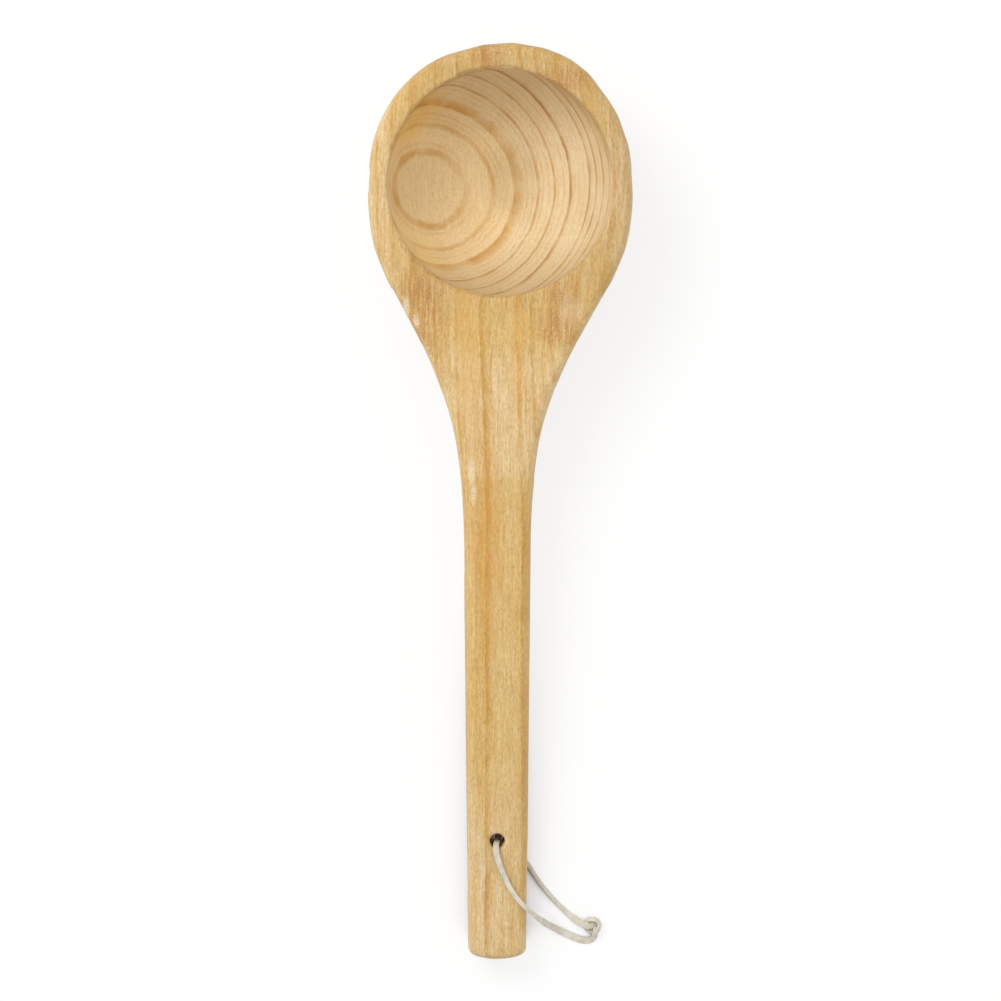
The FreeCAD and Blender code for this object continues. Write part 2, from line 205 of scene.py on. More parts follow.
# Which way the lace's flat side faces, at shares of its length
LACE_FACES = [
    (0.00, (0.2, -0.3, 1.0)),
    (0.10, (0.0, 0.1, 1.0)),
    (0.24, (-0.2, 0.35, 1.0)),
    (0.33, (-0.8, 0.5, 0.7)),
    (0.40, (-0.5, 0.3, 1.0)),
    (0.48, (0.0, 0.0, 1.0)),
    (0.55, (0.2, 1.0, 0.6)),
    (0.62, (0.2, 1.0, 0.1)),
    (0.68, (0.3, 0.9, -0.5)),
    (0.72, (0.1, 0.2, 1.0)),
    (0.80, (0.6, 0.5, 0.8)),
    (0.90, (0.1, 0.1, 1.0)),
    (1.00, (0.0, 0.0, 1.0)),
]

# How wide the lace looks, at shares of its length: it is drawn thin where it bends
LACE_WIDTHS = [
    (0.00, 1.6 * MM),
    (0.02, 2.5 * MM),
    (0.07, 2.9 * MM),
    (0.20, 3.0 * MM),
    (0.29, 2.1 * MM),
    (0.36, 2.1 * MM),
    (0.48, 2.5 * MM),
    (0.60, 2.6 * MM),
    (0.76, 1.9 * MM),
    (0.89, 2.0 * MM),
    (0.96, 3.1 * MM),
    (0.98, 2.9 * MM),
    (1.00, 1.4 * MM),
]

# The knot's outer turn: a band round the two ends, lifted on the far right
KNOT_MIDDLE = Vector((0.0399, -0.3167, 0.0027))
KNOT_TURN_RADIUS = 2.95 * MM
KNOT_TURN_LIFT = 1.0 * MM
KNOT_TURN_HIGHEST = math.radians(40)
KNOT_TURN_SWELL = 0.04
KNOT_TURN_STEPS = 96
KNOT_BAND_WIDTH = 2.5 * MM
KNOT_BAND_TILT = 1.9 * MM
KNOT_CORE_RADIUS = 2.2 * MM
KNOT_CORE_HEIGHT_SHARE = 0.75
KNOT_CORE_DROP = Vector((0, 0, -0.7 * MM))

# Floor and light
FLOOR_SIZE = 3.0
FLOOR_DROP = 0.1 * MM
FLOOR_GLOW_SHARE = 0.75
FLOOR_SHADOW_REACH = 25 * MM
KEY_LIGHT_PLACE = (-0.55, 0.50, 1.10)
KEY_LIGHT_TARGET = (0, -0.1, 0)
KEY_LIGHT_SIZE = 0.7
KEY_LIGHT_POWER = 8
WORLD_STRENGTH = 0.86


def srgb(red, green, blue):
    """A colour given as 0 to 255 in the photograph's own scale."""
    channels = []
    for value in (red, green, blue):
        share = value / 255
        channels.append(share / 12.92 if share <= 0.04045 else ((share + 0.055) / 1.055) ** 2.4)
    return (*channels, 1.0)


# Colours of the wood between the rings
HANDLE_WOOD = srgb(228, 199, 139)
HANDLE_END_WOOD = srgb(236, 214, 172)
SCRAPED_WOOD = srgb(239, 214, 168)
BOWL_SIDE_WOOD = srgb(238, 215, 172)
FRESH_WOOD = srgb(244, 227, 190)
FRESH_SAPWOOD = srgb(250, 228, 183)
PALE_CLOUD = srgb(238, 210, 160)
GOLDEN_WOOD = srgb(216, 169, 84)

# Colours of the rings and of the fine grain
OUTSIDE_RING = srgb(199, 148, 62)
HEART_SIDE_RING = srgb(180, 127, 56)
BARK_SIDE_RING = srgb(203, 142, 34)
STREAK = srgb(203, 157, 76)
DARK_FLECK = srgb(186, 141, 70)
PALE_FLECK = srgb(250, 230, 184)
FIBRE_SHADE = srgb(204, 196, 180)
PLAIN_WHITE = srgb(255, 255, 255)

# Colours of use and wear, and of painted shade and painted light
LIP_SHADOW = srgb(172, 122, 58)
SHADED_GOLDEN_WALL = srgb(255, 242, 200)
PALE_AND_LIT_WALL = srgb(255, 226, 150)
SHADED_MIDDLE = srgb(238, 238, 236)
SHADED_RIM = srgb(231, 228, 230)
END_GRAIN = srgb(232, 226, 218)
SKY_LIT_SIDE = srgb(224, 208, 172)
TORN_FIBRES = srgb(168, 110, 66)
NECK_BAND = srgb(214, 160, 78)
HAND_STAIN = srgb(200, 143, 62)
RUBBED_WOOD = srgb(240, 230, 210)

# Colours of the lace
LEATHER = srgb(218, 212, 200)
STAINED_LEATHER = srgb(196, 188, 172)
LEATHER_PORES = srgb(168, 156, 130)


# Making materials

class Nodes:
    """Short calls for the nodes of one tree."""

    def __init__(self, tree):
        self.tree = tree

    def node(self, kind, **settings):
        made = self.tree.nodes.new(kind)
        for key, value in settings.items():
            setattr(made, key, value)
        return made

    def put(self, socket, value):
        if isinstance(value, bpy.types.NodeSocket):
            self.tree.links.new(value, socket)
        else:
            socket.default_value = value

    def maths(self, operation, *values):
        made = self.node("ShaderNodeMath", operation=operation)
        for socket, value in zip(made.inputs, values):
            self.put(socket, value)
        return made.outputs[0]

    def vector(self, operation, *values):
        made = self.node("ShaderNodeVectorMath", operation=operation)
        for socket, value in zip(made.inputs, values):
            self.put(socket, value)
        return made.outputs["Value" if operation in ("DOT_PRODUCT", "LENGTH") else "Vector"]

    def axes(self, place):
        """The three parts of a place."""
        made = self.node("ShaderNodeSeparateXYZ")
        self.put(made.inputs[0], place)
        return made.outputs


class Graph(Nodes):
    """Short calls for the nodes of one material."""

    def __init__(self, name):
        self.material = bpy.data.materials.new(name)
        self.material.use_nodes = True
        super().__init__(self.material.node_tree)
        self.tree.nodes.clear()

    def noise(self, place, scale, detail=2.0, roughness=0.5, colour=False):
        made = self.node("ShaderNodeTexNoise")
        self.put(made.inputs["Vector"], place)
        made.inputs["Scale"].default_value = scale
        made.inputs["Detail"].default_value = detail
        made.inputs["Roughness"].default_value = roughness
        return made.outputs["Color" if colour else "Fac"]

    def spread(self, value, low, high, to_low=0.0, to_high=1.0, smooth=False):
        """A value between two limits, stretched to two others and held there."""
        made = self.node("ShaderNodeMapRange", clamp=True)
        if smooth:
            made.interpolation_type = "SMOOTHSTEP"
        for key, item in (("Value", value), ("From Min", low), ("From Max", high),
                          ("To Min", to_low), ("To Max", to_high)):
            self.put(made.inputs[key], item)
        return made.outputs["Result"]

    def mix(self, share, first, second, blend="MIX"):
        made = self.node("ShaderNodeMix", data_type="RGBA", blend_type=blend)
        factor, _, _, _, _, _, first_colour, second_colour = made.inputs[:8]
        self.put(factor, share)
        self.put(first_colour, first)
        self.put(second_colour, second)
        return made.outputs[2]

    def ramp(self, value, stops):
        made = self.node("ShaderNodeValToRGB")
        elements = made.color_ramp.elements
        while len(elements) > 1:
            elements.remove(elements[-1])
        elements[0].position = stops[0][0]
        elements[0].color = stops[0][1]
        for position, colour in stops[1:]:
            elements.new(position).color = colour
        self.put(made.inputs["Fac"], value)
        return made.outputs["Color"]

    def bump(self, height, distance, strength=1.0, normal=None):
        made = self.node("ShaderNodeBump")
        made.inputs["Strength"].default_value = strength
        made.inputs["Distance"].default_value = distance
        self.put(made.inputs["Height"], height)
        if normal is not None:
            self.put(made.inputs["Normal"], normal)
        return made.outputs["Normal"]

    def finish(self, **sockets):
        shader = self.node("ShaderNodeBsdfPrincipled")
        for key, value in sockets.items():
            self.put(shader.inputs[key.replace("_", " ")], value)
        output = self.node("ShaderNodeOutputMaterial")
        self.tree.links.new(shader.outputs["BSDF"], output.inputs["Surface"])
        return self.material


def grey(value):
    return (value, value, value, 1.0)


def ring_stops(rings):
    """Late wood of some rings, as places on the log's depth from heart to bark."""
    span = LOG_BARK_SIDE - LOG_HEART_SIDE
    stops = [(0.0, grey(EARLY_WOOD))]
    for start, fade, dark in sorted(rings):
        outer = (start - LOG_HEART_SIDE) / span
        stops.append((outer - (RING_EDGE + fade) / span, grey(EARLY_WOOD)))
        stops.append((outer - RING_EDGE / span, grey(dark)))
        stops.append((outer, grey(EARLY_WOOD)))
    return stops


def ladle_place(graph):
    """Place in the ladle's own frame, in grain units."""
    coordinates = graph.node("ShaderNodeTexCoord")
    mapping = graph.node("ShaderNodeMapping", vector_type="TEXTURE")
    mapping.inputs["Location"].default_value = LADLE_ZERO
    mapping.inputs["Rotation"].default_value = (LIE_ANGLE, 0, 0)
    mapping.inputs["Scale"].default_value = (GRAIN_UNIT, GRAIN_UNIT, GRAIN_UNIT)
    graph.put(mapping.inputs["Vector"], coordinates.outputs["Object"])
    return mapping.outputs["Vector"]


def wavering(graph, place):
    """The place, pushed about a little as growth does."""
    slow = graph.noise(graph.vector("MULTIPLY", place, (1.0, 0.3, 1.0)), 1.6, 1.0, colour=True)
    fine = graph.noise(graph.vector("MULTIPLY", place, (1.0, 0.4, 1.0)), 10.0, 2.0, colour=True)
    slow = graph.vector("SUBTRACT", slow, (0.5, 0.5, 0.5))
    fine = graph.vector("SUBTRACT", fine, (0.5, 0.5, 0.5))
    place = graph.vector("ADD", place, graph.vector("MULTIPLY", slow, (0.035, 0.0, 0.035)))
    return graph.vector("ADD", place, graph.vector("MULTIPLY", fine, (0.022, 0.0, 0.022)))


def depth_in_log(graph, place):
    """Millimetres towards the bark."""
    axes = dict(zip("xyz", graph.axes(wavering(graph, place))))
    axes["y"] = graph.spread(axes["y"], -GROWTH_REACH, GROWTH_REACH, -GROWTH_REACH, GROWTH_REACH)
    total = 0.0
    for share, letters in GROWTH:
        term = share
        for letter in letters:
            term = graph.maths("MULTIPLY", term, axes[letter])
        total = graph.maths("ADD", total, term)
    return total


def near_place(graph, place, middle, reach, soft):
    """1 at a place on the ladle and 0 away from it. Middle, reach and edge are millimetres."""
    unit = GRAIN_UNIT / MM
    away = graph.vector("SUBTRACT", place, tuple(value / unit for value in middle))
    stretched = graph.vector("DIVIDE", away, tuple(value / unit for value in reach))
    distance = graph.vector("LENGTH", stretched)
    return graph.spread(distance, 1.0 - soft, 1.0 + soft, 1.0, 0.0, smooth=True)


def near_any(graph, place, marks, soft):
    """The strongest of several marks."""
    total = 0.0
    for middle, reach, strength in marks:
        mark = near_place(graph, place, middle, reach, soft)
        total = graph.maths("MAXIMUM", total, graph.maths("MULTIPLY", mark, strength))
    return total


def hollow_mask(graph, place, height):
    """1 inside the bowl. At the far right the lip is worn, and the rim's wood shows further in."""
    reach = HOLLOW_RADIUS / MM + 1
    inside = near_place(graph, place, HOLLOW_MIDDLE / MM, (reach, reach, reach), 0.012)
    worn_lip = near_place(graph, place, *WORN_LIP, 0.5)
    full_below = graph.spread(worn_lip, 0.0, 1.0, -0.045, -0.42)
    below_rim = graph.spread(height, full_below, -0.032, 1.0, 0.0)
    return graph.maths("MULTIPLY", inside, below_rim)


def late_wood(graph, depth):
    """How dark the growth rings make the wood at a depth in the log."""
    share = graph.spread(depth, LOG_HEART_SIDE, LOG_BARK_SIDE)
    late = 0.0
    for first in range(0, len(GROWTH_RINGS), RINGS_IN_A_RAMP):
        some_rings = GROWTH_RINGS[first:first + RINGS_IN_A_RAMP]
        late = graph.maths("MAXIMUM", late, graph.ramp(share, ring_stops(some_rings)))
    return graph.maths("POWER", late, 0.75)


def wood_spot(graph):
    """What is known at a spot of the wood: its place, its depth in the log and its textures."""
    place = ladle_place(graph)
    across, along, height = graph.axes(place)
    inside = hollow_mask(graph, place, height)
    depth = depth_in_log(graph, place)

    def drawn_out(share):
        return graph.vector("MULTIPLY", place, (1.0, share, 1.0))

    return SimpleNamespace(
        place=place,
        across=across,
        along=along,
        height=height,
        inside=inside,
        outside=graph.maths("SUBTRACT", 1.0, inside),
        depth=depth,
        late=late_wood(graph, depth),
        fibres=graph.noise(drawn_out(0.07), 90.0, 3.0, 0.75),
        streaks=graph.noise(drawn_out(0.08), 46.0, 4.0, 0.7),
        bands=graph.noise(drawn_out(0.10), 7.0),
        clouds=graph.noise(drawn_out(0.4), 3.2, 3.0, 0.55),
        flecks=graph.noise(drawn_out(0.35), 75.0, 2.0, 0.7),
        specks=graph.noise(place, 110.0, 2.0, 0.6),
        patchy=graph.noise(place, 4.0),
    )


def tinted(graph, wood, tone, share, colour):
    """The wood moved towards a colour."""
    return graph.mix(graph.maths("MULTIPLY", tone, share), wood, colour)


def shaded(graph, wood, tone, share, colour):
    """The wood darkened by a colour."""
    return graph.mix(graph.maths("MULTIPLY", tone, share), wood, colour, "MULTIPLY")


def early_wood(graph, spot):
    """Pale wood between the rings: scraped on the neck, handled below it, fresh in the hollow."""
    ragged = graph.spread(spot.streaks, 0.2, 0.8, -0.06, 0.06)
    step = graph.maths("ADD", spot.along, ragged)
    above_step = graph.spread(step, -2.58, -2.50)
    neck_only = graph.spread(step, -1.62, -1.36, 1.0, 0.0, smooth=True)
    near_end = graph.spread(spot.along, -5.9, -4.7, 1.0, 0.0, smooth=True)
    to_the_side = graph.spread(graph.maths("ABSOLUTE", spot.across), 0.80, 1.0)
    wood = graph.mix(near_end, HANDLE_WOOD, HANDLE_END_WOOD)
    wood = graph.mix(graph.maths("MULTIPLY", above_step, neck_only), wood, SCRAPED_WOOD)
    wood = graph.mix(to_the_side, wood, BOWL_SIDE_WOOD)
    fresh = graph.mix(graph.spread(spot.depth, 20, 27), FRESH_WOOD, FRESH_SAPWOOD)
    return graph.mix(spot.inside, wood, fresh)


def broad_tones(graph, spot, wood):
    wood = tinted(graph, wood, graph.spread(spot.clouds, 0.42, 0.68), 0.28, PALE_CLOUD)
    golden = graph.maths("MULTIPLY", graph.spread(spot.bands, 0.42, 0.66), spot.outside)
    return tinted(graph, wood, golden, 0.50, GOLDEN_WOOD)


def growth_rings(graph, spot, wood):
    """Late wood, golden towards the bark, and faint where the hollow is flat."""
    in_hollow = graph.mix(graph.spread(spot.depth, 4, 24), HEART_SIDE_RING, BARK_SIDE_RING)
    dark = graph.mix(spot.inside, OUTSIDE_RING, in_hollow)
    worn = graph.spread(spot.patchy, 0.35, 0.60, 0.50, 1.0)
    faint = near_place(graph, spot.place, *FAINT_RINGS, 0.6)
    worn = graph.maths("MULTIPLY", worn, graph.spread(faint, 0.0, 1.0, 1.0, 0.35))
    return graph.mix(graph.maths("MULTIPLY", spot.late, worn), wood, dark)


def fine_grain(graph, spot, wood):
    """Streaks, flecks and single fibres, calmer inside the bowl and on the handle."""
    streak_share = graph.spread(spot.along, -1.7, -1.1, 0.48, 0.64)
    streak_share = graph.spread(spot.inside, 0.0, 1.0, streak_share, 0.22)
    wood = tinted(graph, wood, graph.spread(spot.streaks, 0.42, 0.72), streak_share, STREAK)
    fleck_share = graph.spread(spot.inside, 0.0, 1.0, 0.50, 0.26)
    wood = tinted(graph, wood, graph.spread(spot.flecks, 0.52, 0.70), fleck_share, DARK_FLECK)
    pale = graph.spread(spot.flecks, 0.30, 0.46, 1.0, 0.0)
    wood = tinted(graph, wood, graph.maths("MULTIPLY", pale, spot.outside), 0.30, PALE_FLECK)
    fibre_shade = graph.mix(graph.spread(spot.fibres, 0.25, 0.75), FIBRE_SHADE, PLAIN_WHITE)
    fibre_share = graph.spread(spot.inside, 0.0, 1.0, 0.8, 0.5)
    return graph.mix(fibre_share, wood, fibre_shade, "MULTIPLY")


def hollow_shade_and_light(graph, spot, wood):
    """Painted shadow: a brown line under the far left lip. Painted shade: the wall below it darker
    and golden, and the middle darker. Paler on the near left, partly the wood's own colour and
    partly painted light."""
    def on_wall(middle, reach, soft=0.6):
        near = near_place(graph, spot.place, middle, reach, soft)
        return graph.maths("MULTIPLY", near, spot.inside)

    lip = on_wall(*LIP_SHADOW_PLACE, 0.3)
    shadow_under_lip = graph.maths("MULTIPLY", lip, graph.spread(spot.height, -0.24, -0.06))
    # Painted shadow: a brown line just under the far left lip
    wood = tinted(graph, wood, shadow_under_lip, 0.5, LIP_SHADOW)
    # Painted shade: the far left wall darker and golden
    wood = shaded(graph, wood, on_wall(*SHADED_FAR_LEFT_WALL), 1.0, SHADED_GOLDEN_WALL)
    # Paler near left wall: partly the wood's own colour, partly painted light
    wood = tinted(graph, wood, on_wall(*PALE_AND_LIT_NEAR_LEFT), 0.35, PALE_AND_LIT_WALL)
    # Painted shade: a plain grey darkening in the middle of the hollow
    return shaded(graph, wood, on_wall(*SHADED_HOLLOW_FLOOR), 1.0, SHADED_MIDDLE)


def facing(graph):
    """Where the surface cuts across the fibres, and where it stands on its side for painted light.
    """
    coordinates = graph.node("ShaderNodeTexCoord")
    _, along, upwards = graph.axes(coordinates.outputs["Normal"])
    across_fibres = graph.spread(graph.maths("ABSOLUTE", along), 0.45, 0.95)
    return across_fibres, graph.spread(upwards, 0.3, 0.85, 1, 0)


def rim_shade_end_grain_and_side_light(graph, spot, wood):
    """Painted shade: the rim darker round the bowl than on its left, the side the light comes from.
    End grain is darker. Painted light: steep sides paler and greyer, as if lit by the sky.
    """
    on_bowl = graph.spread(spot.along, -1.25, -0.9)
    not_left = graph.spread(spot.across, -0.9, -0.6)
    rim_shade = graph.maths("MULTIPLY", graph.maths("MULTIPLY", on_bowl, not_left), spot.outside)
    # Painted shade: the rim darker everywhere but on its left, towards the light
    wood = shaded(graph, wood, rim_shade, 0.5, SHADED_RIM)
    end_grain, sky_lit_side = facing(graph)
    wood = shaded(graph, wood, end_grain, 1.0, END_GRAIN)
    # Painted light: steep sides paler and greyer, as if lit by the sky
    return tinted(graph, wood, graph.maths("MULTIPLY", sky_lit_side, spot.outside), 0.25, SKY_LIT_SIDE)


def wear(graph, spot, wood):
    """Torn fibres, golden bands along the neck, the hand's stain below it, and rubbed spots."""
    fine = graph.maths("MULTIPLY", spot.specks, 0.6)
    coarse = graph.maths("MULTIPLY", spot.streaks, 0.4)
    splinters = graph.spread(graph.maths("ADD", fine, coarse), 0.46, 0.57)
    torn = near_any(graph, spot.place, TORN_PATCHES, 0.7)
    wood = tinted(graph, wood, graph.maths("MULTIPLY", torn, splinters), 0.8, TORN_FIBRES)
    bands = near_any(graph, spot.place, NECK_BANDS, 0.6)
    wood = tinted(graph, wood, bands, 0.26, NECK_BAND)
    stain = near_place(graph, spot.place, *STAINED_GRIP, 0.7)
    stain = graph.maths("MULTIPLY", stain, graph.spread(spot.streaks, 0.25, 0.60))
    wood = tinted(graph, wood, stain, 0.55, HAND_STAIN)
    rubbed = near_any(graph, spot.place, PALE_SCUFFS, 0.8)
    rubbed = graph.maths("MULTIPLY", rubbed, graph.spread(spot.specks, 0.40, 0.55))
    return tinted(graph, wood, rubbed, 0.7, RUBBED_WOOD)


def carved_wood():
    graph = Graph("carved_wood_finish")
    spot = wood_spot(graph)
    wood = early_wood(graph, spot)
    for step in (broad_tones, growth_rings, fine_grain, hollow_shade_and_light, rim_shade_end_grain_and_side_light, wear):
        wood = step(graph, spot, wood)
    relief_height = graph.maths("ADD", spot.fibres, graph.maths("MULTIPLY", spot.specks, 0.6))
    relief = graph.bump(relief_height, 0.12 * MM, 0.7)
    return graph.finish(
        Base_Color=wood,
        Roughness=graph.spread(spot.fibres, 0.3, 0.7, 0.60, 0.74),
        Normal=graph.bump(spot.late, 0.04 * MM, 0.5, relief),
        Specular_IOR_Level=0.3,
    )


def lace_leather():
    graph = Graph("lace_leather_finish")
    coordinates = graph.node("ShaderNodeTexCoord")
    place = coordinates.outputs["Object"]
    grain = graph.noise(place, 2600.0, 3.0, 0.6)
    stains = graph.noise(place, 260.0, 2.0, 0.5)
    leather = graph.mix(graph.spread(stains, 0.35, 0.7), LEATHER, STAINED_LEATHER)
    leather = graph.mix(graph.spread(grain, 0.5, 0.8, 0.0, 0.5), leather, LEATHER_PORES)
    relief = graph.bump(grain, 0.08 * MM, 0.7)
    return graph.finish(
        Base_Color=leather,
        Roughness=0.68,
        Normal=relief,
        Specular_IOR_Level=0.3,
    )


def pale_floor():
    """White to the camera, with the object's soft shadow still on it."""
    graph = Graph("pale_floor_finish")
    shadow_side = graph.node("ShaderNodeBsdfDiffuse")
    shadow_side.inputs["Color"].default_value = (0.92, 0.92, 0.92, 1.0)
    glow = graph.node("ShaderNodeEmission")
    glow.inputs["Color"].default_value = (1.0, 1.0, 1.0, 1.0)
    open_sky = graph.node("ShaderNodeAmbientOcclusion", samples=8)
    open_sky.inputs["Distance"].default_value = FLOOR_SHADOW_REACH
    graph.put(glow.inputs["Strength"], graph.spread(open_sky.outputs["AO"], 0.15, 0.6))
    rays = graph.node("ShaderNodeLightPath")
    seen = graph.maths("MAXIMUM", rays.outputs["Is Camera Ray"], rays.outputs["Is Glossy Ray"])
    seen = graph.maths("MAXIMUM", seen, rays.outputs["Is Transmission Ray"])
    both = graph.node("ShaderNodeMixShader")
    graph.put(both.inputs["Fac"], graph.maths("MULTIPLY", seen, FLOOR_GLOW_SHARE))
    graph.put(both.inputs[1], shadow_side.outputs[0])
    graph.put(both.inputs[2], glow.outputs[0])
    output = graph.node("ShaderNodeOutputMaterial")
    graph.put(output.inputs["Surface"], both.outputs[0])
    return graph.material


# Making meshes

def link(name, data):
    made = bpy.data.objects.new(name, data)
    bpy.context.scene.collection.objects.link(made)
    return made


def settled_mesh(piece, name):
    """The piece's mesh with its modifiers worked in."""
    depsgraph = bpy.context.evaluated_depsgraph_get()
    settled = piece.evaluated_get(depsgraph)
    mesh = bpy.data.meshes.new_from_object(settled, depsgraph=depsgraph)
    mesh.name = name
    return mesh


def drop(piece):
    bpy.data.objects.remove(piece, do_unlink=True)


def merged_copy(node, name):
    """A CAD node's mesh, with its loose triangles joined."""
    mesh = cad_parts[node].data.copy()
    mesh.name = name
    work = bmesh.new()
    work.from_mesh(mesh)
    bmesh.ops.remove_doubles(work, verts=work.verts, dist=MERGE_DISTANCE)
    work.to_mesh(mesh)
    work.free()
    return mesh


def route_line(name, controls):
    """Points along the smooth curve that a route's points control."""
    curve = bpy.data.curves.new(name, "CURVE")
    curve.dimensions = "3D"
    spline = curve.splines.new("NURBS")
    spline.points.add(len(controls) - 1)
    for point, place in zip(spline.points, controls):
        point.co = (*place, 1.0)
    spline.order_u = 3
    spline.use_endpoint_u = True
    spline.resolution_u = 12
    holder = link(name, curve)
    mesh = settled_mesh(holder, name)
    line = [vertex.co.copy() for vertex in mesh.vertices]
    drop(holder)
    bpy.data.meshes.remove(mesh)
    return line


def along_steps(share, steps, blend):
    """What holds at a share of the length, between the two steps that are given for it."""
    for (before, first), (after, second) in zip(steps, steps[1:]):
        if share <= after:
            part = (share - before) / (after - before)
            return blend(first, second, part * part * (3 - 2 * part))
    return steps[-1][1]


def blended_face(share):
    """The lace's flat side's direction at a share of its length."""
    return Vector(along_steps(share, LACE_FACES,
                              lambda first, second, part: Vector(first).lerp(Vector(second), part)))


def blended_width(share):
    return along_steps(share, LACE_WIDTHS,
                       lambda first, second, part: first + (second - first) * part)


def strap_outline(width, thickness):
    """Section of a flat strap with rounded edges, as (across, up) pairs."""
    round_edge = thickness * 0.42
    flat_width = width / 2 - round_edge
    flat_thickness = thickness / 2 - round_edge
    outline = []
    for corner, (side, up) in enumerate([(1, 1), (-1, 1), (-1, -1), (1, -1)]):
        for step in range(4):
            angle = math.radians(90 * corner + 30 * step)
            outline.append((side * flat_width + round_edge * math.cos(angle),
                            up * flat_thickness + round_edge * math.sin(angle)))
    return outline


def strap(name, line, face_at, width_at, thickness, closed=False):
    """A flat strap along a line of points. Its face and width are asked for at each point."""
    lengths = [0.0]
    for before, after in zip(line, line[1:]):
        lengths.append(lengths[-1] + (after - before).length)
    work = bmesh.new()
    rings = []
    count = len(line)
    for index, point in enumerate(line):
        if closed:
            before, after = line[index - 1], line[(index + 1) % count]
        else:
            before, after = line[max(index - 1, 0)], line[min(index + 1, count - 1)]
        along = (after - before).normalized()
        share = lengths[index] / lengths[-1]
        face = face_at(share, point)
        up = (face - along * face.dot(along)).normalized()
        across = up.cross(along)
        places = [
            point + across * side + up * rise
            for side, rise in strap_outline(width_at(share), thickness)
        ]
        lowest = min(place.z for place in places)
        lift = Vector((0, 0, max(FLOOR_GAP - lowest, 0)))
        rings.append([work.verts.new(place + lift) for place in places])
    pairs = list(zip(rings, rings[1:]))
    if closed:
        pairs.append((rings[-1], rings[0]))
    for first, second in pairs:
        for corner in range(len(first)):
            after = (corner + 1) % len(first)
            work.faces.new((first[corner], first[after], second[after], second[corner]))
    if not closed:
        work.faces.new(rings[0])
        work.faces.new(rings[-1])
    bmesh.ops.recalc_face_normals(work, faces=work.faces)
    mesh = bpy.data.meshes.new(name)
    work.to_mesh(mesh)
    work.free()
    for face in mesh.polygons:
        face.use_smooth = True
    return link(name, mesh)


def camera():
    data = bpy.data.cameras.new("camera")
    data.lens = CAMERA_LENS
    data.sensor_width = 36.0
    made = link("camera", data)
    made.location = CAMERA_PLACE
    bpy.context.scene.camera = made


def lace(leather):
    line = [point + LACE_DROP for point in route_line("lace_route", LACE_ROUTE)]
    piece = strap("lace", line, lambda share, point: blended_face(share), blended_width,
                  LACE_THICKNESS)
    piece.data.materials.append(leather)
    return piece, line


def knot_line():
    """One turn round the lace's ends."""
    points = []
    for step in range(KNOT_TURN_STEPS):
        turn = 2 * math.pi * step / KNOT_TURN_STEPS
        lift = KNOT_TURN_LIFT * math.cos(turn - KNOT_TURN_HIGHEST)
        radius = KNOT_TURN_RADIUS * (1 + KNOT_TURN_SWELL * math.sin(3 * turn))
        away = Vector((math.cos(turn) * radius, math.sin(turn) * radius, lift))
        points.append(KNOT_MIDDLE + away)
    return points


def add_core(piece):
    """The buried part of the knot, seen only in its gaps."""
    work = bmesh.new()
    work.from_mesh(piece.data)
    place = Matrix.Translation(KNOT_MIDDLE + KNOT_CORE_DROP)
    squashed = Matrix.Diagonal((1, 1, KNOT_CORE_HEIGHT_SHARE, 1))
    bmesh.ops.create_icosphere(work, subdivisions=3, radius=KNOT_CORE_RADIUS,
                               matrix=place @ squashed)
    for face in work.faces:
        face.smooth = True
    work.to_mesh(piece.data)
    work.free()


def knot(leather):
    def outwards(share, point):
        away = point - KNOT_MIDDLE
        return Vector((away.x, away.y, KNOT_BAND_TILT))

    piece = strap("knot", knot_line(), outwards, lambda share: KNOT_BAND_WIDTH, LACE_THICKNESS,
                  closed=True)
    add_core(piece)
    piece.data.materials.append(leather)
    return piece


# Carving the ladle

def own_frame(point):
    """A point in the ladle's own frame, rim level."""
    away = point - LADLE_ZERO
    cosine = math.cos(LIE_ANGLE)
    sine = math.sin(LIE_ANGLE)
    return Vector((away.x, away.y * cosine + away.z * sine, away.z * cosine - away.y * sine))


def smooth_step(value, low, high):
    share = min(max((value - low) / (high - low), 0.0), 1.0)
    return share * share * (3 - 2 * share)


def fuller_edge(point):
    """How far a point of the bowl's far wall moves to the right."""
    own = own_frame(point)
    start = (34 + 12 * smooth_step(-own.x, -10 * MM, 30 * MM)) * MM
    far = smooth_step(own.y, start, start + 14 * MM)
    from_middle = math.hypot(own.x - HOLLOW_MIDDLE.x, own.y - HOLLOW_MIDDLE.y)
    return FULLER_BY * far * smooth_step(from_middle, 48.5 * MM, 54 * MM)


def carved_share(point, normal):
    """1 on the bowl's carved outside, less on the handle, 0 inside and on the flat top."""
    own = own_frame(point)
    if (own - HOLLOW_MIDDLE).length < HOLLOW_RADIUS + 2 * MM and own.z < -1 * MM:
        return 0.0
    if normal.z > 0.9:
        return 0.0
    if point.z < 0.3 * MM:
        return 0.0
    on_handle = smooth_step(-own.y, 50 * MM, 80 * MM)
    return 1.0 - (1.0 - HANDLE_CUT_SHARE) * on_handle


